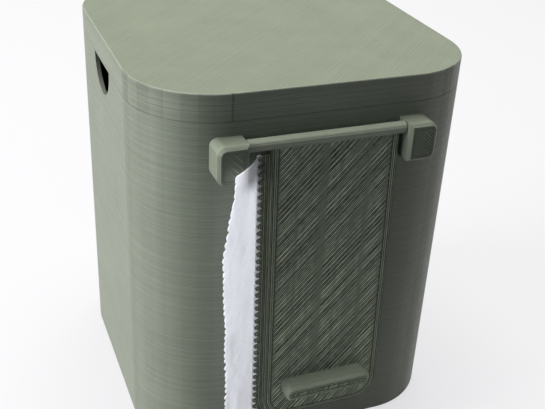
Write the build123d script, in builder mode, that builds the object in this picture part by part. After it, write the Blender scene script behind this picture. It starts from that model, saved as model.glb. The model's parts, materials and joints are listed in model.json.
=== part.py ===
from build123d import *
import math
import os

# Tabletop case for one toilet roll, printed in filament. Sizes in millimetres.
# It stands on z = 0 with the Z axis through the middle of the case. The paper flap faces -Y
# and the paper is torn off towards -X.

# Case and lid
case_width = 126.0
case_depth = 126.0
body_height = 140.0
lid_height = 10.0
corner_radius = 29.4
wall = 1.6
floor_thickness = 2.4
foot_chamfer = 0.5
lid_top = 2.0
lid_edge_radius = 0.6
seam_gap = 0.15
lip_depth = 4.0
lip_thickness = 1.6
lip_clearance = 0.3
lip_notch_margin = 2.0
notch_radius = 12.4
notch_y = 1.2
cut_margin = 2.0

# Roll, its cardboard core and the turntable that carries them
roll_head_room = 12.5
roll_radius = 52.0
core_bore_radius = 19.0
core_wall = 1.0
core_fit = 0.1
stand_radius = 42.0
stand_top = 13.5
stand_gap = 0.3
stand_chamfer = 1.5
hub_play = 0.7
hub_height = 36.0
hub_chamfer = 3.0
post_radius = 6.0
post_top = 40.0
post_play = 0.08

# Hinge: two blocks on the front wall, a thin pin and the flap's barrel
hinge_stand_off = 4.1
hinge_drop = 7.1
barrel_radius = 2.2
barrel_end_gap = 0.3
pin_radius = 0.875
pin_block_fit = 0.02
pin_barrel_play = 0.08
pin_seat = 6.0
pin_end_gap = 0.4
left_block_inset = 32.4
right_block_inset = 35.4
block_width = 10.8
block_height = 13.9
block_depth = 8.7
block_bevel = 1.0
block_corner = 3.0
block_bond = 0.05

# Screws that hold the blocks from inside the case
screw_radius = 1.3
screw_hole_play = 0.2
screw_pilot_play = 0.02
screw_length = 8.0
screw_point = 1.4
screw_point_taper = 1.0
screw_head_radius = 2.4
screw_head_height = 1.7
screw_head_dome = 0.6
screw_seat_gap = 0.25
screw_inset = 3.3
screw_edge_distance = 3.0
screw_spacing = 5.6
screw_rows = 2
screw_recess_length = 2.6
screw_recess_width = 0.7
screw_recess_depth = 0.8

# Flap: panel, toothed strip and finger bar, resting slightly open against the paper
flap_tilt = 2.5
panel_left_gap = 9.5
panel_right_gap = 1.9
panel_length = 115.5
panel_thickness = 3.0
panel_corner = 10.0
strip_thickness = 1.2
strip_band = 1.6
tooth_depth = 2.4
tooth_pitch = 2.8
tooth_flat = 0.6
strip_start = 5.3
strip_end_margin = 1.5
handle_side_margin = 5.9
handle_height = 6.0
handle_depth = 7.0
handle_bevel = 1.0
handle_rise = 14.5

# Slot in the front wall and the paper web that comes through it
slot_width = 17.0
slot_side_margin = 11.1
slot_end_margin = 2.0
slot_corner = 2.0
paper_thickness = 0.35
paper_clearance = 0.3
web_slot_inset = 4.0
web_exit_inset = 0.5
web_exit_bow = 0.55
web_lead = 5.0
web_past_panel = 3.3
web_facets = 22
web_levels = 8
tear_depth = 0.7
# The free margin past the teeth, as distances from where the web is held: sideways, forwards
upper_margin = [(-2.3, 0.3), (-6.7, 8.9), (-12.1, 12.3), (-17.6, 15.0)]
lower_margin = [(-2.4, 0.4), (-7.2, 3.6), (-12.6, 6.2), (-17.6, 8.0)]
# Torn edge of the web: how far sideways from where it is held, and the share of the way down
tear_points = [(-12.0, 0.0), (-11.8, 0.05), (-14.4, 0.15), (-15.6, 0.25), (-15.2, 0.37),
               (-14.3, 0.55), (-13.4, 0.80), (-13.1, 1.0)]

# Worked out from the sizes above
front = case_depth / 2
inner_front = front - wall
hinge_y = -(front + hinge_stand_off)
hinge_z = body_height - hinge_drop
left_block_x = left_block_inset - case_width / 2
right_block_x = case_width / 2 - right_block_inset
panel_left = left_block_x + panel_left_gap
panel_right = right_block_x - panel_right_gap
handle_width = panel_right - panel_left - 2 * handle_side_margin
lid_floor = body_height + seam_gap
lid_ceiling = body_height + lid_height - lid_top
hub_radius = core_bore_radius - hub_play
core_radius = core_bore_radius + core_wall
roll_top = body_height - roll_head_room
roll_width = roll_top - stand_top
slot_left = panel_left + slot_side_margin
slot_right = slot_left + slot_width
slot_bottom = stand_top - slot_end_margin
slot_top = roll_top + slot_end_margin
web_in_slot_x = slot_left + web_slot_inset
web_held_x = panel_left - web_past_panel
block_top = hinge_z + barrel_radius
block_middle = block_top - block_height / 2
flap_normal = (0, -math.cos(math.radians(flap_tilt)), math.sin(math.radians(flap_tilt)))
flap_plane = Plane(origin=(0, hinge_y, hinge_z), x_dir=(1, 0, 0), z_dir=flap_normal)
block_foot = block_top - block_height
screw_heights = [block_foot + screw_edge_distance + row * screw_spacing for row in range(screw_rows)]
screw_columns = [left_block_x - screw_inset, right_block_x + screw_inset]

os.makedirs("parts", exist_ok=True)


# Case body: an open printed shell with the turntable's post on its floor
with BuildPart() as case_body:
    with BuildSketch():
        RectangleRounded(case_width, case_depth, corner_radius)
    extrude(amount=body_height)
    chamfer(case_body.faces().sort_by(Axis.Z)[0].edges(), length=foot_chamfer)
    with BuildSketch(Plane.XY.offset(floor_thickness)):
        RectangleRounded(case_width - 2 * wall, case_depth - 2 * wall, corner_radius - wall)
    extrude(amount=body_height, mode=Mode.SUBTRACT)
    with BuildSketch(Plane.XY.offset(floor_thickness)):
        Circle(post_radius)
    extrude(amount=post_top - floor_thickness)
    # A finger notch in each side wall, under the lid
    with BuildSketch(Plane.YZ):
        with Locations((notch_y, body_height)):
            Circle(notch_radius)
    extrude(amount=case_width, both=True, mode=Mode.SUBTRACT)
    # The slot that the paper comes through
    with BuildSketch(Plane.XZ.offset(inner_front - cut_margin)):
        with Locations(((slot_left + slot_right) / 2, (slot_bottom + slot_top) / 2)):
            RectangleRounded(slot_right - slot_left, slot_top - slot_bottom, slot_corner)
    extrude(amount=wall + 2 * cut_margin, mode=Mode.SUBTRACT)
    # Holes for the screws of the hinge blocks
    with BuildSketch(Plane.XZ.offset(inner_front - cut_margin)):
        with Locations([(x, z) for x in screw_columns for z in screw_heights]):
            Circle(screw_radius + screw_hole_play)
    extrude(amount=wall + 2 * cut_margin, mode=Mode.SUBTRACT)
case_body.part.label = "case_body"
export_step(case_body.part, "parts/case_body.step")


# Lid: a shallow cap with a lip that drops inside the case, left open above the finger notches
with BuildPart() as lid:
    with BuildSketch(Plane.XY.offset(lid_floor)):
        RectangleRounded(case_width, case_depth, corner_radius)
    extrude(amount=lid_height - seam_gap)
    fillet(lid.faces().sort_by(Axis.Z)[-1].edges(), radius=lid_edge_radius)
    with BuildSketch(Plane.XY.offset(lid_floor)):
        RectangleRounded(case_width - 2 * wall, case_depth - 2 * wall, corner_radius - wall)
    extrude(amount=lid_ceiling - lid_floor, mode=Mode.SUBTRACT)
    with BuildSketch(Plane.XY.offset(body_height - lip_depth)):
        lip_inset = wall + lip_clearance
        RectangleRounded(case_width - 2 * lip_inset, case_depth - 2 * lip_inset, corner_radius - lip_inset)
        offset(amount=-lip_thickness, mode=Mode.SUBTRACT)
    extrude(amount=lid_ceiling - body_height + lip_depth)
    # The lip is joined to the lid's wall above the seam
    with BuildSketch(Plane.XY.offset(lid_floor)):
        RectangleRounded(case_width - wall, case_depth - wall, corner_radius - wall / 2)
        lip_middle = lip_inset + lip_thickness / 2
        RectangleRounded(case_width - 2 * lip_middle, case_depth - 2 * lip_middle, corner_radius - lip_middle,
                         mode=Mode.SUBTRACT)
    extrude(amount=lid_ceiling - lid_floor)
    with BuildSketch(Plane.XY.offset(body_height - lip_depth)):
        with Locations((0, notch_y)):
            Rectangle(case_width - 2 * wall, 2 * (notch_radius + lip_notch_margin))
    extrude(amount=lid_ceiling - body_height + lip_depth, mode=Mode.SUBTRACT)
lid.part.label = "lid"
export_step(lid.part, "parts/lid.step")


# Hinge blocks: printed face up, bevelled in front and rounded at the outer corners
def hinge_block(inner_x, side, name):
    with BuildPart() as block:
        with BuildSketch(Plane.XZ.offset(inner_front)) as outline:
            with Locations((inner_x + side * block_width / 2, block_middle)):
                Rectangle(block_width, block_height)
            outer_corners = outline.vertices().sort_by(Axis.X, reverse=side > 0)[:2]
            fillet(outer_corners, radius=block_corner)
        extrude(amount=wall + block_depth)
        chamfer(block.faces().sort_by(Axis.Y)[0].edges(), length=block_bevel)
        # The back follows the case wall where it starts to turn the corner
        with BuildSketch():
            RectangleRounded(case_width + 2 * block_bond, case_depth + 2 * block_bond,
                             corner_radius + block_bond)
        extrude(amount=body_height, mode=Mode.SUBTRACT)
        with BuildSketch(Plane.YZ.offset(inner_x)):
            with Locations((hinge_y, hinge_z)):
                Circle(pin_radius + pin_block_fit)
        extrude(amount=side * pin_seat, mode=Mode.SUBTRACT)
        with BuildSketch(Plane.XZ.offset(inner_front)):
            with Locations([(inner_x + side * screw_inset, z) for z in screw_heights]):
                Circle(screw_radius + screw_pilot_play)
        extrude(amount=screw_length + screw_seat_gap, mode=Mode.SUBTRACT)
    block.part.label = name
    export_step(block.part, "parts/" + name + ".step")


hinge_block(left_block_x, -1, "hinge_block_left")
hinge_block(right_block_x, 1, "hinge_block_right")


# Hinge pin: a straight length of stiff filament in the blocks' blind holes
pin_left = left_block_x - pin_seat + pin_end_gap
pin_right = right_block_x + pin_seat - pin_end_gap
with BuildPart() as hinge_pin:
    with BuildSketch(Plane.YZ.offset(pin_left)):
        with Locations((hinge_y, hinge_z)):
            Circle(pin_radius)
    extrude(amount=pin_right - pin_left)
hinge_pin.part.label = "hinge_pin"
export_step(hinge_pin.part, "parts/hinge_pin.step")


# Hinge block screws: pan heads inside the case, two to a block
with BuildPart() as hinge_block_screws:
    head_plane = Plane.XZ.offset(inner_front - screw_seat_gap)
    screw_centres = [(x, z) for x in screw_columns for z in screw_heights]
    with BuildSketch(head_plane):
        with Locations(screw_centres):
            Circle(screw_head_radius)
    extrude(amount=-screw_head_height)
    chamfer(hinge_block_screws.edges().group_by(Axis.Y)[-1], length=screw_head_dome)
    with BuildSketch(head_plane):
        with Locations(screw_centres):
            Circle(screw_radius)
    extrude(amount=screw_length)
    chamfer(hinge_block_screws.edges().group_by(Axis.Y)[0], length=screw_point, length2=screw_point_taper)
    with BuildSketch(head_plane.offset(-screw_head_height)):
        with Locations(screw_centres):
            Rectangle(screw_recess_length, screw_recess_width)
            Rectangle(screw_recess_width, screw_recess_length)
    extrude(amount=screw_recess_depth, mode=Mode.SUBTRACT)
hinge_block_screws.part.label = "hinge_block_screws"
export_step(hinge_block_screws.part, "parts/hinge_block_screws.step")


# Flap: one print with the barrel along its top, the tearing teeth on its left edge and a finger bar
strip_left = panel_left - strip_band
teeth_count = int((panel_length - strip_start - strip_end_margin) / tooth_pitch)
with BuildPart() as flap:
    with BuildSketch(Plane.YZ.offset(left_block_x + barrel_end_gap)):
        with Locations((hinge_y, hinge_z)):
            Circle(barrel_radius)
    extrude(amount=right_block_x - left_block_x - 2 * barrel_end_gap)
    with BuildSketch(flap_plane) as panel:
        with Locations(((panel_left + panel_right) / 2, -panel_length / 2)):
            Rectangle(panel_right - panel_left, panel_length)
        fillet(panel.vertices().sort_by(Axis.Y)[:2].sort_by(Axis.X)[-1], radius=panel_corner)
    extrude(amount=-panel_thickness)
    # The strip lies along the back of the panel and carries the teeth
    with BuildSketch(flap_plane.offset(-panel_thickness)):
        with BuildLine():
            outline_points = [(panel_left + strip_band, -strip_start), (strip_left, -strip_start)]
            for tooth in range(teeth_count):
                top = -strip_start - tooth * tooth_pitch
                outline_points.append((strip_left - tooth_depth, top - (tooth_pitch - tooth_flat) / 2))
                outline_points.append((strip_left - tooth_depth, top - (tooth_pitch + tooth_flat) / 2))
                outline_points.append((strip_left, top - tooth_pitch))
            outline_points.append((strip_left, -panel_length))
            outline_points.append((panel_left + strip_band, -panel_length))
            Polyline(*outline_points, close=True)
        make_face()
    extrude(amount=strip_thickness)
    with BuildSketch(flap_plane):
        with Locations(((panel_left + panel_right) / 2, handle_rise - panel_length)):
            SlotOverall(handle_width, handle_height)
    extrude(amount=handle_depth)
    chamfer(flap.faces().sort_by(Axis((0, 0, 0), flap_normal))[-1].edges(), length=handle_bevel)
    with BuildSketch(Plane.YZ.offset(left_block_x)):
        with Locations((hinge_y, hinge_z)):
            Circle(pin_radius + pin_barrel_play)
    extrude(amount=right_block_x - left_block_x, mode=Mode.SUBTRACT)
flap.part.label = "flap"
export_step(flap.part, "parts/flap.step")


# Roll stand: a printed turntable that turns on the post and centres the roll's core
with BuildPart() as roll_stand:
    with BuildSketch(Plane.XY.offset(floor_thickness + stand_gap)):
        Circle(stand_radius)
    extrude(amount=stand_top - floor_thickness - stand_gap)
    chamfer(roll_stand.edges().filter_by(GeomType.CIRCLE), length=stand_chamfer)
    with BuildSketch(Plane.XY.offset(stand_top)):
        Circle(hub_radius)
    extrude(amount=hub_height)
    chamfer(roll_stand.faces().sort_by(Axis.Z)[-1].edges(), length=hub_chamfer)
    with BuildSketch(Plane.XY.offset(floor_thickness)):
        Circle(post_radius + post_play)
    extrude(amount=post_top - floor_thickness + stand_gap, mode=Mode.SUBTRACT)
roll_stand.part.label = "roll_stand"
export_step(roll_stand.part, "parts/roll_stand.step")


# Roll core: the cardboard tube
with BuildPart() as roll_core:
    with BuildSketch(Plane.XY.offset(stand_top)):
        Circle(core_radius)
        Circle(core_bore_radius, mode=Mode.SUBTRACT)
    extrude(amount=roll_width)
roll_core.part.label = "roll_core"
export_step(roll_core.part, "parts/roll_core.step")


# Paper roll: the wound paper on the core
with BuildPart() as paper_roll:
    with BuildSketch(Plane.XY.offset(stand_top)):
        Circle(roll_radius)
        Circle(core_radius + core_fit, mode=Mode.SUBTRACT)
    extrude(amount=roll_width)
paper_roll.part.label = "paper_roll"
export_step(paper_roll.part, "parts/paper_roll.step")


# Paper web: leaves the roll at a tangent, passes the slot and turns under the flap's teeth
def tangent_start(reach):
    """Where a straight web through the middle of the slot touches a circle about the roll."""
    slot_distance = math.hypot(web_in_slot_x, front - wall / 2)
    slot_angle = math.atan2(-(front - wall / 2), web_in_slot_x)
    angle = slot_angle + math.acos(reach / slot_distance)
    return (reach * math.cos(angle), reach * math.sin(angle))


def flap_back(height):
    """The y of the flap's back face at a height."""
    tilt = math.radians(flap_tilt)
    return hinge_y - (hinge_z - height) * math.tan(tilt) + panel_thickness / math.cos(tilt)


def web_route(share):
    """The web's centre line seen from above, at a share of the way up, from the roll to past the torn edge."""
    height = stand_top + share * roll_width
    start = tangent_start(roll_radius + paper_clearance + paper_thickness / 2)
    slot = (web_in_slot_x, -(front - wall / 2))
    halfway = ((start[0] + slot[0]) / 2, (start[1] + slot[1]) / 2)
    wall_side = -(front + paper_clearance + paper_thickness / 2)
    held = flap_back(height) + paper_clearance + paper_thickness / 2
    leaving = [(slot_left + web_exit_inset, wall_side - (1 - share) * web_exit_bow),
               (slot_left - web_lead, (wall_side + held) / 2), (web_held_x, held)]
    free = []
    for low, high in zip(lower_margin, upper_margin):
        sideways = low[0] + share * (high[0] - low[0])
        forwards = low[1] + share * (high[1] - low[1])
        free.append((web_held_x + sideways, held - forwards))
    return [start, halfway, slot] + leaving + free


def web_outline(share):
    """Both sides of the web at a share of the way up, as one ring of points."""
    curve = Spline(*web_route(share))
    near_side = []
    far_side = []
    for facet in range(web_facets + 1):
        place = facet / web_facets
        middle = curve @ place
        along = (curve % place).normalized() * paper_thickness / 2
        near_side.append((middle.X - along.Y, middle.Y + along.X))
        far_side.append((middle.X + along.Y, middle.Y - along.X))
    return near_side + far_side[::-1]


with BuildPart() as paper_tail:
    for level in range(web_levels + 1):
        web_ring = web_outline(level / web_levels)
        with BuildSketch(Plane.XY.offset(stand_top + level / web_levels * roll_width)):
            with BuildLine():
                Polyline(*web_ring, close=True)
            make_face()
    loft(ruled=True)
    # The torn edge has one tab for each tooth
    tear_line = Spline(*[(web_held_x + sideways, roll_top - share * roll_width)
                         for sideways, share in tear_points])
    tabs = int(roll_width / tooth_pitch)
    torn_edge = [tear_line @ 0]
    for tab in range(tabs):
        torn_edge.append(tear_line @ ((tab + 1 / 2) / tabs) - Vector(tear_depth, 0, 0))
        torn_edge.append(tear_line @ ((tab + 1) / tabs))
    with BuildSketch(Plane.XZ):
        with BuildLine():
            Polyline(*[(point.X, point.Y) for point in torn_edge], (roll_radius, stand_top),
                     (roll_radius, roll_top), close=True)
        make_face()
    extrude(amount=case_depth, mode=Mode.INTERSECT)
paper_tail.part.label = "paper_tail"
export_step(paper_tail.part, "parts/paper_tail.step")
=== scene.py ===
import json
import math

import bpy
from mathutils import Matrix, Vector, noise


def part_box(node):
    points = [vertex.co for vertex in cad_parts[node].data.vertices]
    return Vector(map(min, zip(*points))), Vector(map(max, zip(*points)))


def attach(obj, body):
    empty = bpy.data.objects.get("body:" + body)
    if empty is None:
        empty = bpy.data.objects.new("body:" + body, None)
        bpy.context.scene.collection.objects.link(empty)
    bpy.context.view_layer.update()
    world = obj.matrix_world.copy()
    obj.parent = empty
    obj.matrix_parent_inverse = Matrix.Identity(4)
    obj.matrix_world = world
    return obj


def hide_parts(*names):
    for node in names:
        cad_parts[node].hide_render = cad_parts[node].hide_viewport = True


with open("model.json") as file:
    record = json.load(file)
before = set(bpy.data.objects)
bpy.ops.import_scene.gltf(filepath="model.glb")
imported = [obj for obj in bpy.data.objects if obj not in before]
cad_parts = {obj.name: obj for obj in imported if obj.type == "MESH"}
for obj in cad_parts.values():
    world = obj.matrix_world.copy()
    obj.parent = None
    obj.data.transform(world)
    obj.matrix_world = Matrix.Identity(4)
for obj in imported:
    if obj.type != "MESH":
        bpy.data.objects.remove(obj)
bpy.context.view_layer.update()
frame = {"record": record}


# Case body: one tall print with round corners, standing as it was printed. Each layer of filament
# shows as a fine level line, some a little lighter or prouder than their neighbours.
# The material is kept as sums of simple groups: rows of beads, distance from an outline, a printed skin.
filament_colour = (0.138, 0.155, 0.118)
layer_height = 0.00028
bead_width = 0.00074
bead_relief = 0.00010


def new_group(name, vectors, values, results):
    """An empty shader group with its inputs and results: vector inputs first, then plain values."""
    group = bpy.data.node_groups.new(name, "ShaderNodeTree")
    for labels, in_out, kind in ((vectors, "INPUT", "NodeSocketVector"), (values, "INPUT", "NodeSocketFloat"),
                                 (results, "OUTPUT", "NodeSocketFloat")):
        for label in labels:
            group.interface.new_socket(name=label, in_out=in_out, socket_type=kind)
    return group, group.nodes.new("NodeGroupInput").outputs, group.nodes.new("NodeGroupOutput").inputs


def new_material(name):
    """A material with its node tree and its Principled shader."""
    material = bpy.data.materials.new(name)
    material.use_nodes = True
    return material, material.node_tree, material.node_tree.nodes["Principled BSDF"]


def plug(tree, value, socket):
    """Joins a socket to another, or sets a plain value on it."""
    if isinstance(value, bpy.types.NodeSocket):
        tree.links.new(value, socket)
    else:
        socket.default_value = value


def use_group(tree, group, values):
    """A node of a shader group, its inputs given by name, and its results."""
    node = tree.nodes.new("ShaderNodeGroup")
    node.node_tree = group
    for label, value in values.items():
        plug(tree, value, node.inputs[label])
    return node.outputs


def calc(tree, operation, *values, clamp=False):
    """A Math node and its result."""
    node = tree.nodes.new("ShaderNodeMath")
    node.operation = operation
    node.use_clamp = clamp
    for index, value in enumerate(values):
        plug(tree, value, node.inputs[index])
    return node.outputs[0]


def add(tree, first, *others):
    """The values added from left to right."""
    for value in others:
        first = calc(tree, "ADD", first, value)
    return first


def multiply(tree, first, *others):
    """The values multiplied from left to right."""
    for value in others:
        first = calc(tree, "MULTIPLY", first, value)
    return first


def subtract(tree, first, second):
    """The first value less the second."""
    return calc(tree, "SUBTRACT", first, second)


def vector_calc(tree, operation, *values, output="Vector"):
    """A Vector Math node and its result."""
    node = tree.nodes.new("ShaderNodeVectorMath")
    node.operation = operation
    for index, value in enumerate(values):
        is_factor = operation == "SCALE" and index == 1
        plug(tree, value, node.inputs["Scale" if is_factor else index])
    return node.outputs[output]


def split(tree, vector):
    """The x, y and z of a vector."""
    node = tree.nodes.new("ShaderNodeSeparateXYZ")
    plug(tree, vector, node.inputs[0])
    return node.outputs


def ramp(tree, value, low, high):
    """0 below low, 1 above high, and smooth between."""
    node = tree.nodes.new("ShaderNodeMapRange")
    node.interpolation_type = "SMOOTHSTEP"
    plug(tree, value, node.inputs["Value"])
    plug(tree, low, node.inputs["From Min"])
    plug(tree, high, node.inputs["From Max"])
    return node.outputs["Result"]


def blend_values(tree, factor, first, second):
    """first where factor is 0, second where it is 1."""
    node = tree.nodes.new("ShaderNodeMix")
    plug(tree, factor, node.inputs[0])
    plug(tree, first, node.inputs[2])
    plug(tree, second, node.inputs[3])
    return node.outputs[0]


def noise_value(tree, vector, scale, detail=2.0, dimensions="3D"):
    """A Noise Texture read at a vector, or along a line where dimensions is 1D."""
    node = tree.nodes.new("ShaderNodeTexNoise")
    node.noise_dimensions = dimensions
    plug(tree, vector, node.inputs["W" if dimensions == "1D" else "Vector"])
    node.inputs["Scale"].default_value = scale
    node.inputs["Detail"].default_value = detail
    return node.outputs["Fac"]


def random_value(tree, number):
    """A value from 0 to 1 that is always the same for the same number."""
    node = tree.nodes.new("ShaderNodeTexWhiteNoise")
    node.noise_dimensions = "1D"
    plug(tree, number, node.inputs["W"])
    return node.outputs["Value"]


def add_bump(tree, shader, height, distance, strength=1.0):
    """Gives a shader a relief of the given depth."""
    lift = tree.nodes.new("ShaderNodeBump")
    lift.inputs["Strength"].default_value = strength
    lift.inputs["Distance"].default_value = distance
    plug(tree, height, lift.inputs["Height"])
    plug(tree, lift.outputs["Normal"], shader.inputs["Normal"])


def build_bead_rows():
    """Rows of filament beads: a tone either side of 0 and a height from about 0 to 1; the tone has painted
    highlight on bead crests and painted shade between beads.
    """
    roundness = 2.5
    mean_bead = 0.7
    drifts_per_metre = 260.0
    drift_between_rows = 3.7
    bands_per_metre = 1900.0
    group, given, result = new_group(
        "bead_rows", [], ["Across", "Along", "Pitch", "Uneven", "Seed"], ["Tone", "Height"])
    rows = calc(group, "DIVIDE", given["Across"], given["Pitch"])
    row = calc(group, "FLOOR", rows)
    from_middle = calc(group, "ABSOLUTE", subtract(group, calc(group, "FRACT", rows), 0.5))
    bead = subtract(group, 1.0, calc(group, "POWER", multiply(group, from_middle, 2.0), roundness))
    chance = subtract(group, random_value(group, add(group, row, given["Seed"])), 0.5)
    place = group.nodes.new("ShaderNodeCombineXYZ")
    plug(group, multiply(group, given["Along"], drifts_per_metre), place.inputs[0])
    plug(group, multiply(group, row, drift_between_rows), place.inputs[1])
    plug(group, given["Seed"], place.inputs[2])
    wander = subtract(group, noise_value(group, place.outputs[0], 1.0), 0.5)
    band_place = add(group, multiply(group, given["Across"], bands_per_metre), given["Seed"])
    banding = subtract(group, noise_value(group, band_place, 1.0, 3.0, "1D"), 0.5)
    every_second = subtract(group, multiply(group, calc(group, "FRACT", multiply(group, row, 0.5)), 2.0), 0.5)
    # The last term paints each bead lighter along its crest and darker at its edges: painted highlight and
    # painted shade.
    tone = add(group, multiply(group, chance, 0.5), multiply(group, wander, 0.9),
               multiply(group, banding, 0.5), multiply(group, every_second, 0.4),
               multiply(group, subtract(group, bead, mean_bead), 1.5))
    plug(group, multiply(group, tone, given["Uneven"]), result["Tone"])
    rough = add(group, multiply(group, add(group, chance, banding), given["Uneven"]),
                multiply(group, wander, 1.2, given["Uneven"]))
    plug(group, add(group, multiply(group, bead, 0.8), multiply(group, rough, 0.5)), result["Height"])
    return group


def past_straight_sides(group, given, spots):
    """How far x and y lie past the ends of the straight sides, as they are and then never below 0."""
    sides = []
    for axis, spot in zip("XY", spots):
        reach = subtract(group, given["Half " + axis], given["Radius"])
        sides.append(subtract(group, calc(group, "ABSOLUTE", spot), reach))
    return sides, [calc(group, "MAXIMUM", side, 0.0) for side in sides]


def build_outline_distance():
    """How far inside a rectangle with one radius a point lies, negative outside it."""
    group, given, result = new_group(
        "outline_distance", [], ["X", "Y", "Half X", "Half Y", "Radius"], ["Inside"])
    sides, past = past_straight_sides(group, given, (given["X"], given["Y"]))
    corner = calc(group, "SQRT", add(group, multiply(group, past[0], past[0]),
                                     multiply(group, past[1], past[1])))
    nearer = calc(group, "MINIMUM", calc(group, "MAXIMUM", sides[0], sides[1]), 0.0)
    outside = subtract(group, add(group, corner, nearer), given["Radius"])
    plug(group, multiply(group, outside, -1.0), result["Inside"])
    return group


bead_rows = build_bead_rows()
outline_distance = build_outline_distance()


def build_printed_skin():
    """A printed surface in its printing frame: layers up its sides, slanted infill on its flat faces, which
    are painted a little lighter, with painted shade in their outline groove.
    """
    half_diagonal = 0.7071
    patches_per_metre = 230.0
    infill_seed, edge_seed = 11.0, 23.0
    groove_width = (0.00005, 0.0004)
    group, given, result = new_group(
        "printed_skin", ["Place", "Facing"],
        ["Layer", "Bead", "Inside", "Band", "Slant", "Flat Below", "Uneven", "Seed"],
        ["Tone", "Height", "Flat"])
    x, y, z = split(group, given["Place"])
    facing = split(group, given["Facing"])

    def beads(across, along, pitch, seed):
        return use_group(group, bead_rows, {
            "Across": across, "Along": along, "Pitch": pitch, "Uneven": given["Uneven"],
            "Seed": add(group, given["Seed"], seed)})

    around = add(group, x, y)
    sides = beads(z, around, given["Layer"], 0.0)
    leaning = multiply(group, y, given["Slant"])
    slanted = multiply(group, add(group, x, leaning), half_diagonal)
    infill = beads(slanted, subtract(group, x, leaning), given["Bead"], infill_seed)
    patches = noise_value(group, multiply(group, x, patches_per_metre), 1.0, 1.0, "1D")
    strength = add(group, 0.2, multiply(group, ramp(group, patches, 0.30, 0.62), 0.9))
    infill_tone = multiply(group, infill["Tone"], strength)
    infill_height = multiply(group, infill["Height"], strength)
    edge = beads(given["Inside"], around, given["Bead"], edge_seed)
    in_band = calc(group, "LESS_THAN", given["Inside"], given["Band"])
    from_band = calc(group, "ABSOLUTE", subtract(group, given["Inside"], given["Band"]))
    groove = subtract(group, 1.0, ramp(group, from_band, *groove_width))
    # Along the groove between the outline turns and the infill the tone is darker, varying at the infill
    # rows' ends: painted shade in the groove.
    end_row = calc(group, "SINE", calc(group, "DIVIDE", multiply(group, slanted, math.pi), given["Bead"]))
    groove_shade = multiply(group, groove, subtract(group, multiply(group, end_row, 0.2), 0.3))
    # The 0.13 added here paints every flat face lighter than the printed sides: painted light.
    face_tone = add(group, blend_values(group, in_band, infill_tone, multiply(group, edge["Tone"], 0.45)),
                    add(group, groove_shade, 0.13))
    face_height = subtract(group, blend_values(group, in_band, infill_height, edge["Height"]),
                           multiply(group, groove, 0.6))
    flat = multiply(group, ramp(group, calc(group, "ABSOLUTE", facing[2]), 0.94, 0.98),
                    calc(group, "LESS_THAN", y, given["Flat Below"]))
    plug(group, flat, result["Flat"])
    plug(group, blend_values(group, flat, sides["Tone"], face_tone), result["Tone"])
    plug(group, blend_values(group, flat, sides["Height"], face_height), result["Height"])
    return group


printed_skin = build_printed_skin()


def build_painted_facet_light():
    """Painted light on the flat strips of a faceted round corner: each strip a random tone from -0.5 to 0.5,
    as if it caught the light differently.
    """
    strips_in_corner = 8
    group, given, result = new_group("painted_facet_light", ["Place"], ["Half X", "Half Y", "Radius"], ["Tone"])
    place = split(group, given["Place"])
    _, past = past_straight_sides(group, given, (place[0], place[1]))
    angle = calc(group, "ARCTAN2", past[1], past[0])
    corner = add(group, calc(group, "SIGN", place[0]), multiply(group, calc(group, "SIGN", place[1]), 3.0))
    strip = calc(group, "FLOOR", multiply(group, angle, strips_in_corner / (math.pi / 2)))
    pick = random_value(group, add(group, strip, multiply(group, corner, 17.0)))
    in_corner = multiply(group, calc(group, "GREATER_THAN", past[0], 0.0),
                         calc(group, "GREATER_THAN", past[1], 0.0))
    plug(group, multiply(group, subtract(group, pick, 0.5), in_corner), result["Tone"])
    return group


painted_facet_light = build_painted_facet_light()


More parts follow.
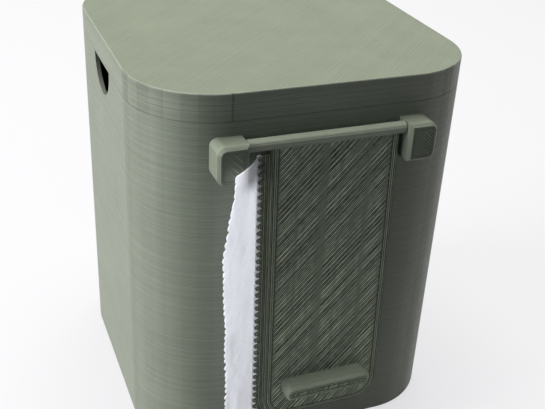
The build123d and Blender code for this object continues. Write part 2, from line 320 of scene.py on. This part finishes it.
def printed_material(name, origin, turn, half_x, half_y, radius, band, slant, seed, uneven=1.0,
                     middle=(0.0, 0.0), bead=bead_width, side_strength=1.0, face_strength=1.0,
                     facet_light=0.0, scar_x=None, flat_below=1.0, raised=None, shade=1.0):
    """Filament as printed: origin and turn give the printing frame, half_x and half_y its outline."""
    darkest = 0.25
    side_roughness, flat_dulling, tone_shine = 0.46, 0.16, 0.12
    side_specular, flat_specular = 0.35, 0.12
    scar_unevenness, scar_core, scar_reach, scar_depth = 0.0004, 0.0002, 0.0006, 0.45
    material, tree, shader = new_material(name)
    coordinates = tree.nodes.new("ShaderNodeTexCoord")
    turned = []
    for source in (vector_calc(tree, "SUBTRACT", coordinates.outputs["Object"], tuple(origin)),
                   coordinates.outputs["Normal"]):
        node = tree.nodes.new("ShaderNodeVectorRotate")
        node.rotation_type = "X_AXIS"
        plug(tree, source, node.inputs["Vector"])
        node.inputs["Center"].default_value = (0.0, 0.0, 0.0)
        node.inputs["Angle"].default_value = turn
        turned.append(node.outputs[0])
    place, facing = turned
    x, y, z = split(tree, place)

    def distance_inside(centre_x, centre_y, half_width, half_length, corner_radius):
        return use_group(tree, outline_distance, {
            "X": subtract(tree, x, centre_x), "Y": subtract(tree, y, centre_y),
            "Half X": half_width, "Half Y": half_length, "Radius": corner_radius})["Inside"]

    inside = distance_inside(middle[0], middle[1], half_x, half_y, radius)
    if raised:
        raised_x, raised_y, raised_half_x, raised_half_y, raised_above = raised
        upper = distance_inside(raised_x, raised_y, raised_half_x, raised_half_y, raised_half_y)
        inside = blend_values(tree, calc(tree, "GREATER_THAN", z, raised_above), inside, upper)
    skin = use_group(tree, printed_skin, {
        "Place": place, "Facing": facing, "Layer": layer_height, "Bead": bead, "Inside": inside, "Band": band,
        "Slant": slant, "Flat Below": flat_below, "Uneven": uneven, "Seed": seed})
    mottle = subtract(tree, noise_value(tree, coordinates.outputs["Object"], 60.0, 4.0), 0.5)
    strength = blend_values(tree, skin["Flat"], side_strength, face_strength)
    tone = add(tree, multiply(tree, skin["Tone"], strength, 0.55), multiply(tree, mottle, 0.25))
    # Painted highlight and painted shade on the strips of the round corners, as if each strip caught the
    # light differently.
    if facet_light:
        corner = use_group(tree, painted_facet_light, {
            "Place": place, "Half X": half_x, "Half Y": half_y, "Radius": radius})["Tone"]
        upright = subtract(tree, 1.0, skin["Flat"])
        tone = add(tree, tone, multiply(tree, corner, upright, facet_light))
    if scar_x is not None:
        ragged = subtract(tree, noise_value(tree, z, 1500.0, 2.0, "1D"), 0.5)
        ragged = multiply(tree, ragged, scar_unevenness)
        off_line = calc(tree, "ABSOLUTE", add(tree, subtract(tree, x, scar_x), ragged))
        on_front = calc(tree, "LESS_THAN", y, 0.0)
        upright = subtract(tree, 1.0, skin["Flat"])
        on_line = subtract(tree, 1.0, ramp(tree, off_line, scar_core, scar_reach))
        tone = subtract(tree, tone, multiply(tree, on_line, on_front, upright, scar_depth))
    # Where shade is not 1 the whole colour is scaled lighter or darker: painted light.
    brightness = multiply(tree, calc(tree, "MAXIMUM", add(tree, 1.0, tone), darkest), shade)
    plug(tree, vector_calc(tree, "SCALE", filament_colour, brightness), shader.inputs["Base Color"])
    dull = add(tree, side_roughness, multiply(tree, skin["Flat"], flat_dulling))
    plug(tree, subtract(tree, dull, multiply(tree, tone, tone_shine)), shader.inputs["Roughness"])
    specular = blend_values(tree, skin["Flat"], side_specular, flat_specular)
    plug(tree, specular, shader.inputs["Specular IOR Level"])
    add_bump(tree, shader, multiply(tree, skin["Height"], strength), bead_relief)
    return material


def give_material(node, material):
    """Puts one material on a CAD node."""
    for place in bpy.data.objects[node].material_slots:
        place.material = material


case_low, case_high = (Vector(corner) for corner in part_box("case_body"))
case_half = (case_high - case_low) / 2
case_corner_radius = 0.0294
case_skin = printed_material("case_print", (0, 0, 0), 0.0, case_half.x, case_half.y, case_corner_radius,
                             band=0.0016, slant=1.0, seed=3.0, side_strength=0.7, facet_light=0.25)
give_material("case_body", case_skin)


# Lid: a shallow cap printed with its top upwards, so the top shows slanted infill lines inside
# about two turns of the outline. It only sits on the case, and its lip keeps it in place.
lid_skin = printed_material("lid_print", (0, 0, 0), 0.0, case_half.x, case_half.y, case_corner_radius,
                            band=0.0013, slant=-1.0, seed=41.0, side_strength=0.8, face_strength=0.3,
                            facet_light=0.6, scar_x=-0.0339)
give_material("lid", lid_skin)


# Hinge blocks: two small prints made face up and screwed to the front wall from inside. Their fronts
# have infill lines that fall to the right, inside one or two turns of the outline.
face_up = -math.pi / 2
block_bevel = 0.001
block_corner_radius = 0.002
for number, name in enumerate(("hinge_block_left", "hinge_block_right")):
    low, high = (Vector(corner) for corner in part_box(name))
    size = high - low
    centre = (low + high) / 2
    block_skin = printed_material(name + "_print", (centre.x, 0.0, centre.z), face_up,
                                  size.x / 2 - block_bevel, size.z / 2 - block_bevel, block_corner_radius,
                                  band=0.0011, slant=1.0, seed=60.0 + number, bead=0.0009,
                                  side_strength=0.5)
    give_material(name, block_skin)


# Hinge pin: a straight length of the same filament, hidden in the barrel and the blocks.
# Screws: zinc-plated pan heads inside the case, with a cross recess.
pin_skin = printed_material("pin_filament", (0, 0, 0), 0.0, 1.0, 1.0, 0.1, band=0.0, slant=1.0, seed=5.0,
                            uneven=0.2, side_strength=0.2, face_strength=0.2)
give_material("hinge_pin", pin_skin)

zinc_colour = (0.60, 0.60, 0.62)
screw_metal, screw_tree, screw_shader = new_material("screw_zinc")
screw_shader.inputs["Metallic"].default_value = 1.0
screw_place = screw_tree.nodes.new("ShaderNodeTexCoord")
screw_blotch = noise_value(screw_tree, screw_place.outputs["Object"], 900.0, 4.0)
screw_shade = add(screw_tree, 0.8, multiply(screw_tree, screw_blotch, 0.3))
screw_grey = vector_calc(screw_tree, "SCALE", zinc_colour, screw_shade)
plug(screw_tree, screw_grey, screw_shader.inputs["Base Color"])
plug(screw_tree, add(screw_tree, 0.22, multiply(screw_tree, screw_blotch, 0.25)),
     screw_shader.inputs["Roughness"])
give_material("hinge_block_screws", screw_metal)


# Flap: one print made face up, with the barrel along its top, a thin toothed strip on its left edge and
# a finger bar. Its front shows slanted infill inside a wide band of outline turns.
hinge = next(joint for joint in frame["record"]["behaviour"]["joints"] if joint["name"] == "flap_hinge")
hinge_at = Vector(hinge["pos_m"])
flap_tilt = math.radians(2.5)
flap_left, flap_right = -0.0211, 0.0257
flap_length = 0.1155
flap_run = 0.03
flap_corner_radius = 0.009
bar_middle = (0.0023, -0.101)
bar_half_size = (0.0175, 0.003)
bar_above = 0.004
# shade=1.30 paints the flap lighter than the same filament elsewhere: painted light.
flap_skin = printed_material("flap_print", hinge_at, flap_tilt - math.pi / 2, (flap_right - flap_left) / 2,
                             (flap_length + flap_run) / 2, flap_corner_radius, band=0.0024, slant=-1.0,
                             seed=80.0, uneven=1.6, side_strength=0.5, face_strength=3.6,
                             middle=((flap_left + flap_right) / 2, (flap_run - flap_length) / 2),
                             flat_below=-0.0024, shade=1.30,
                             raised=(*bar_middle, *bar_half_size, bar_above))
give_material("flap", flap_skin)


# Roll stand: the printed turntable under the roll, with the hub that centres the core.
stand_reach = Vector(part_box("roll_stand")[1]).x
stand_skin = printed_material("stand_print", (0, 0, 0), 0.0, stand_reach, stand_reach, stand_reach,
                              band=0.0016, slant=1.0, seed=120.0)
give_material("roll_stand", stand_skin)


# Roll core: a tube wound from two strips of grey-brown board, with the strips' slanting joint showing.
board_colour = (0.36, 0.30, 0.23)
board_pitch = 0.072
joint_width = 0.012
core_board, core_tree, core_shader = new_material("core_board")
core_place = core_tree.nodes.new("ShaderNodeTexCoord").outputs["Object"]
core_x, core_y, core_z = split(core_tree, core_place)
core_angle = calc(core_tree, "ARCTAN2", core_y, core_x)
core_turns = add(core_tree, calc(core_tree, "DIVIDE", core_angle, 2 * math.pi),
                 calc(core_tree, "DIVIDE", core_z, board_pitch))
from_joint = calc(core_tree, "ABSOLUTE", subtract(core_tree, calc(core_tree, "FRACT", core_turns), 0.5))
core_joint = ramp(core_tree, from_joint, 0.0, joint_width)
core_fibre = noise_value(core_tree, core_place, 700.0, 5.0)
core_shade = multiply(core_tree, add(core_tree, 0.72, multiply(core_tree, core_fibre, 0.5)),
                      add(core_tree, 0.75, multiply(core_tree, core_joint, 0.25)))
core_brown = vector_calc(core_tree, "SCALE", board_colour, core_shade)
plug(core_tree, core_brown, core_shader.inputs["Base Color"])
plug(core_tree, add(core_tree, 0.75, multiply(core_tree, core_fibre, 0.15)), core_shader.inputs["Roughness"])
give_material("roll_core", core_board)


# Paper roll: soft two-ply tissue wound on the core. Its ends show the turns as fine uneven rings,
# and its side is slightly dented.
tissue_colour = (0.935, 0.94, 0.975)
turn_thickness = 0.00028
roll_low, roll_high = (Vector(corner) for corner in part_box("paper_roll"))
roll_reach = roll_high.x
bore_clearance = 0.0001
roll_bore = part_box("roll_core")[1][0] + bore_clearance


def object_from(name, points, faces, material):
    """A smooth mesh object at the origin with one material."""
    mesh = bpy.data.meshes.new(name)
    mesh.from_pydata(points, [], faces)
    mesh.update()
    mesh.materials.append(material)
    for polygon in mesh.polygons:
        polygon.use_smooth = True
    made = bpy.data.objects.new(name, mesh)
    bpy.context.scene.collection.objects.link(made)
    return made


def mix_shaders(tree, factor, first, second):
    """The first shader node where factor is 0, the second where it is 1."""
    node = tree.nodes.new("ShaderNodeMixShader")
    plug(tree, factor, node.inputs[0])
    plug(tree, first.outputs[0], node.inputs[1])
    plug(tree, second.outputs[0], node.inputs[2])
    return node


def tissue_material(name, wound):
    """Soft white tissue: faint mottling and a fine fibrous bump, with rings on a wound roll's ends."""
    roll_relief, web_relief = 0.00012, 0.0011
    light_through = 0.55
    material, tree, shader = new_material(name)
    coordinates = tree.nodes.new("ShaderNodeTexCoord")
    place = coordinates.outputs["Object"]
    fibres = noise_value(tree, place, 900.0, 5.0)
    clouds = noise_value(tree, place, 90.0, 3.0)
    shade = add(tree, 0.93, multiply(tree, add(tree, fibres, clouds), 0.07))
    height = add(tree, multiply(tree, fibres, 0.5), multiply(tree, clouds, 0.5))
    if wound:
        x, y, _ = split(tree, place)
        facing = split(tree, coordinates.outputs["Normal"])
        from_axis = calc(tree, "SQRT", add(tree, multiply(tree, x, x), multiply(tree, y, y)))
        rings = use_group(tree, bead_rows, {
            "Across": from_axis, "Along": x, "Pitch": turn_thickness, "Uneven": 1.0, "Seed": 7.0})
        on_end = ramp(tree, calc(tree, "ABSOLUTE", facing[2]), 0.7, 0.9)
        # The rings' tone carries bead_rows' painted highlight on each turn and painted shade between turns.
        shade = add(tree, shade, multiply(tree, rings["Tone"], on_end, 0.16))
        height = add(tree, height, multiply(tree, rings["Height"], on_end, 2.0))
    paper = vector_calc(tree, "SCALE", tissue_colour, shade)
    plug(tree, paper, shader.inputs["Base Color"])
    shader.inputs["Roughness"].default_value = 0.9
    shader.inputs["Specular IOR Level"].default_value = 0.2
    add_bump(tree, shader, height, roll_relief if wound else web_relief, strength=0.8)
    if not wound:
        through = tree.nodes.new("ShaderNodeBsdfTranslucent")
        plug(tree, paper, through.inputs["Color"])
        both = mix_shaders(tree, light_through, shader, through)
        plug(tree, both.outputs[0], tree.nodes["Material Output"].inputs["Surface"])
    return material


def wound_roll():
    """The roll as a lathed ring with soft edges, rings of paper on its ends and a few dents."""
    around = 180
    steps_out = 26
    steps_down = 30
    edge = 0.0006
    soft = edge * 0.3
    dent_depth = 0.0004
    end_depth = 0.00035
    flat_width = roll_reach - edge - roll_bore
    side_height = roll_high.z - roll_low.z - 2 * edge
    rings = []
    for step in range(steps_out + 1):
        rings.append((roll_bore + flat_width * step / steps_out, roll_high.z, "end"))
    rings.append((roll_reach - soft, roll_high.z - soft, "edge"))
    for step in range(steps_down + 1):
        rings.append((roll_reach, roll_high.z - edge - side_height * step / steps_down, "side"))
    rings.append((roll_reach - soft, roll_low.z + soft, "edge"))
    for step in range(steps_out + 1):
        rings.append((roll_reach - edge - flat_width * step / steps_out, roll_low.z, "foot"))
    points = []
    for reach, height, kind in rings:
        for turn in range(around):
            angle = 2 * math.pi * turn / around
            spot = Vector((math.cos(angle), math.sin(angle), 0.0))
            dent = 0.0
            drop = 0.0
            if kind == "side":
                dent = dent_depth * (1 + noise.noise(Vector((spot.x * 2.0, spot.y * 2.0, height * 40.0))))
            if kind == "end":
                drop = end_depth * (1 + noise.noise(Vector((reach * 500.0, spot.x * 1.5, spot.y * 1.5))))
            points.append((spot.x * (reach - dent), spot.y * (reach - dent), height - drop))
    faces = []
    for ring in range(len(rings)):
        here, below = ring * around, (ring + 1) % len(rings) * around
        for turn in range(around):
            ahead = (turn + 1) % around
            faces.append((here + turn, below + turn, below + ahead, here + ahead))
    return object_from("wound_tissue", points, faces, tissue_material("tissue_roll", True))


wound_tissue = wound_roll()
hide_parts("paper_roll")
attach(wound_tissue, "roll")


# Paper web: a single length of tissue that leaves the roll at a tangent, passes the slot, lies under the
# flap's teeth and stands forward past them. Its free edge is torn, with one tab for each tooth.
front_wall = 0.063
wall = 0.0016
paper_clearance = 0.0003
paper_thickness = 0.00035
ply_thickness = 0.00018
slot_x = -0.006
held_x = -0.0244
panel_thickness = 0.003
tooth_pitch = 0.0028
tab_depth = 0.0010
ragged_depth = 0.0005
upper_margin = [(-0.0012, -0.0007), (-0.0020, -0.0024), (-0.0053, -0.0064), (-0.0121, -0.0121),
                (-0.0176, -0.0165)]
lower_margin = [(-0.0012, -0.0004), (-0.0024, -0.0012), (-0.0072, -0.0036), (-0.0126, -0.0062),
                (-0.0176, -0.0080)]
torn_edge = [(-0.0364, 0.0), (-0.0364, 0.006), (-0.0388, 0.0175), (-0.0409, 0.029), (-0.0402, 0.042),
             (-0.0387, 0.063), (-0.0378, 0.091), (-0.0375, 0.114)]


def flap_back(height):
    """The y of the flap's back face at a height."""
    drop = hinge_at.z - height
    return hinge_at.y - drop * math.tan(flap_tilt) + panel_thickness / math.cos(flap_tilt)


def web_route(height, bow, margin):
    """The web's centre line seen from above, from the roll to past the torn edge."""
    reach = roll_reach + paper_clearance + paper_thickness / 2
    slot = Vector((slot_x, -(front_wall - wall / 2)))
    angle = math.atan2(slot.y, slot.x) + math.acos(reach / slot.length)
    start = Vector((reach * math.cos(angle), reach * math.sin(angle)))
    wall_side = -(front_wall + paper_clearance + paper_thickness / 2)
    held = flap_back(height) + paper_clearance + paper_thickness / 2
    leaving = [Vector((-0.0095, wall_side - bow * 0.00055)), Vector((-0.015, wall_side - bow * 0.0005)),
               Vector((-0.0205, wall_side * 0.8 + held * 0.2)), Vector((held_x, held))]
    past_teeth = [Vector((held_x + dx, held + dy)) for dx, dy in margin]
    return [start, (start + slot) / 2, slot] + leaving + past_teeth


def smooth_line(points, count):
    """Points along a curve through the given ones, by Catmull and Rom's rule."""
    line = []
    spans = len(points) - 1
    for step in range(count):
        place = step / (count - 1) * spans
        span = min(int(place), spans - 1)
        t = place - span
        a = points[span - 1] if span > 0 else 2 * points[0] - points[1]
        b = points[span]
        c = points[span + 1]
        d = points[span + 2] if span + 2 <= spans else 2 * points[-1] - points[-2]
        line.append(0.5 * (2 * b + (c - a) * t + (2 * a - 5 * b + 4 * c - d) * t * t
                           + (3 * b - a - 3 * c + d) * t ** 3))
    return line


def torn_x(drop):
    """The x of the torn edge at a distance below the paper's top, with its tabs."""
    for (x1, d1), (x2, d2) in zip(torn_edge, torn_edge[1:]):
        if drop <= d2:
            share = (drop - d1) / (d2 - d1)
            share = share * share * (3 - 2 * share)
            base = x1 + (x2 - x1) * share
            break
    else:
        base = torn_edge[-1][0]
    phase = (drop / tooth_pitch) % 1.0
    tab = math.sqrt(max(0.0, 1 - (2 * phase - 1) ** 2))
    ragged = noise.noise(Vector((drop * 500.0, 3.0, 0.0)))
    ragged += 0.6 * noise.noise(Vector((drop * 1900.0, 8.0, 0.0)))
    return base - tab_depth * tab + ragged_depth * ragged


def between_0_and_1(value):
    """The value, kept within 0 and 1."""
    return max(0.0, min(1.0, value))


def paper_web():
    """The sheet as a grid: columns along the web, rows down it, cut off at the torn edge."""
    rows = 460
    columns = 64
    route_points = 240
    loose_after, loose_over = 0.003, 0.006
    tuck_depth, tuck_over, tuck_until, tuck_fade = 0.0018, 0.003, -0.010, 0.004
    top, bottom = roll_high.z, roll_low.z
    upper = smooth_line(web_route(top, 0.0, upper_margin), route_points)
    lower = smooth_line(web_route(bottom, 1.0, lower_margin), route_points)
    points = []
    for row in range(rows + 1):
        share = row / rows
        height = top + (bottom - top) * share
        line = [a + (b - a) * share for a, b in zip(upper, lower)]
        limit = torn_x(top - height)
        past = next(index for index, spot in enumerate(line) if spot.x < limit)
        before, after = line[past - 1], line[past]
        end = past - 1 + (limit - before.x) / (after.x - before.x)
        for column in range(columns + 1):
            place = end * (column / columns)
            index = min(int(place), len(line) - 2)
            spot = line[index] + (line[index + 1] - line[index]) * (place - index)
            loose = between_0_and_1((held_x - loose_after - spot.x) / loose_over)
            tucked = between_0_and_1((spot.x - held_x) / tuck_over)
            tucked *= between_0_and_1((tuck_until - spot.x) / tuck_fade)
            crinkle = noise.noise(Vector((spot.x * 150.0, height * 60.0, 0.0))) * 0.0007
            crinkle += noise.noise(Vector((spot.x * 500.0, height * 260.0, 5.0))) * 0.0004
            points.append((spot.x, spot.y + crinkle * loose, height - tuck_depth * tucked * (1 - share)))
    faces = []
    for row in range(rows):
        for column in range(columns):
            first = row * (columns + 1) + column
            faces.append((first, first + 1, first + columns + 2, first + columns + 1))
    sheet = object_from("torn_tissue", points, faces, tissue_material("tissue_web", False))
    solid = sheet.modifiers.new("ply", "SOLIDIFY")
    solid.thickness = ply_thickness
    solid.offset = 0.0
    return sheet


torn_tissue = paper_web()
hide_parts("paper_tail")
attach(torn_tissue, "root")


# Table: a plain white sheet. Rays from the camera and mirrored rays see it nearly white, with the case's
# soft shadow. The light that it throws back on the case is dimmer, and its colour for that bounce is painted
# brighter near the case: a painted pool of bounce light.
table_reach = 3.0
table_glow = 0.78
near_until, far_from = 0.10, 0.36
far_light, near_light = 0.06, 0.26


def seen_directly(tree):
    """1 for rays from the camera, and for those mirrored or sent on by a shiny or clear surface."""
    path = tree.nodes.new("ShaderNodeLightPath")
    straight = add(tree, path.outputs["Is Camera Ray"], path.outputs["Is Glossy Ray"])
    return calc(tree, "ADD", straight, path.outputs["Is Transmission Ray"], clamp=True)


table_white, table_tree, table_shader = new_material("table_white")
table_tree.nodes.remove(table_shader)
table_paint = table_tree.nodes.new("ShaderNodeBsdfDiffuse")
table_paint.inputs["Color"].default_value = (0.68, 0.68, 0.70, 1.0)
table_seen = table_tree.nodes.new("ShaderNodeEmission")
table_seen.inputs["Color"].default_value = (0.855, 0.85, 0.87, 1.0)
table_dim = table_tree.nodes.new("ShaderNodeBsdfDiffuse")
table_place = table_tree.nodes.new("ShaderNodeTexCoord")
# Painted pool of bounce light: the colour that bounced rays see is brighter near the case and falls to
# far_light beyond far_from.
table_far = vector_calc(table_tree, "LENGTH", table_place.outputs["Object"], output="Value")
table_near = subtract(table_tree, 1.0, ramp(table_tree, table_far, near_until, far_from))
table_back = add(table_tree, far_light, multiply(table_tree, table_near, near_light))
plug(table_tree, vector_calc(table_tree, "SCALE", (1.0, 1.0, 0.98), table_back), table_dim.inputs["Color"])
table_bright = mix_shaders(table_tree, table_glow, table_paint, table_seen)
table_mix = mix_shaders(table_tree, seen_directly(table_tree), table_dim, table_bright)
plug(table_tree, table_mix.outputs[0], table_tree.nodes["Material Output"].inputs["Surface"])
table = object_from("table", [(-table_reach, -table_reach, 0), (table_reach, -table_reach, 0),
                              (table_reach, table_reach, 0), (-table_reach, table_reach, 0)],
                    [(0, 1, 2, 3)], table_white)

world = bpy.data.worlds.new("studio")
bpy.context.scene.world = world
world.use_nodes = True
sky_tree = world.node_tree
sky = sky_tree.nodes["Background"]
sky.inputs["Color"].default_value = (0.80, 0.86, 1.0, 1.0)
sky.inputs["Strength"].default_value = 0.05
sky_seen = sky_tree.nodes.new("ShaderNodeBackground")
sky_seen.inputs["Color"].default_value = (0.95, 0.95, 0.96, 1.0)
sky_mix = mix_shaders(sky_tree, seen_directly(sky_tree), sky, sky_seen)
plug(sky_tree, sky_mix.outputs[0], sky_tree.nodes["World Output"].inputs["Surface"])


def soft_light(name, place, aim, size, power, colour):
    """A square area light aimed at a point."""
    lamp = bpy.data.lights.new(name, "AREA")
    lamp.size = size
    lamp.energy = power
    lamp.color = colour
    holder = bpy.data.objects.new(name, lamp)
    bpy.context.scene.collection.objects.link(holder)
    turn = (Vector(aim) - Vector(place)).to_track_quat("-Z", "Y").to_matrix().to_4x4()
    holder.matrix_world = Matrix.Translation(place) @ turn


soft_light("window", place=(-1.66, 0.13, 0.58), aim=(0, 0, 0.08), size=0.8, power=50.0,
           colour=(1.0, 0.995, 0.98))
soft_light("ceiling", place=(0.05, 0.36, 1.66), aim=(0, 0, 0.08), size=1.3, power=49.0,
           colour=(1.0, 0.99, 0.94))
soft_light("side_fill", place=(-0.580, -0.290, 0.28), aim=(-0.03, -0.03, 0.07), size=0.2, power=0.7,
           colour=(0.70, 0.86, 1.0))


# Camera: the photograph's place, aim and slight roll, worked out from the case's outlines.
view_azimuth = math.radians(-22.571)
view_elevation = math.radians(29.40)
view_roll = math.radians(3.007)
view_distance = 0.38457
view_target = Vector((0.007647, 0.0, 0.068755))
photo_width = 545
focal_pixels = 887.17
back = Vector((math.sin(view_azimuth) * math.cos(view_elevation),
               -math.cos(view_azimuth) * math.cos(view_elevation), math.sin(view_elevation)))
lens = bpy.data.cameras.new("photo_view")
lens.sensor_fit = "HORIZONTAL"
lens.lens = focal_pixels * lens.sensor_width / photo_width
lens.clip_start = 0.01
camera = bpy.data.objects.new("photo_view", lens)
bpy.context.scene.collection.objects.link(camera)
aim = (-back).to_track_quat("-Z", "Y").to_matrix().to_4x4()
eye = Matrix.Translation(view_target + back * view_distance)
camera.matrix_world = eye @ aim @ Matrix.Rotation(view_roll, 4, "Z")
bpy.context.scene.camera = camera
bpy.context.scene.view_settings.view_transform = "Standard"
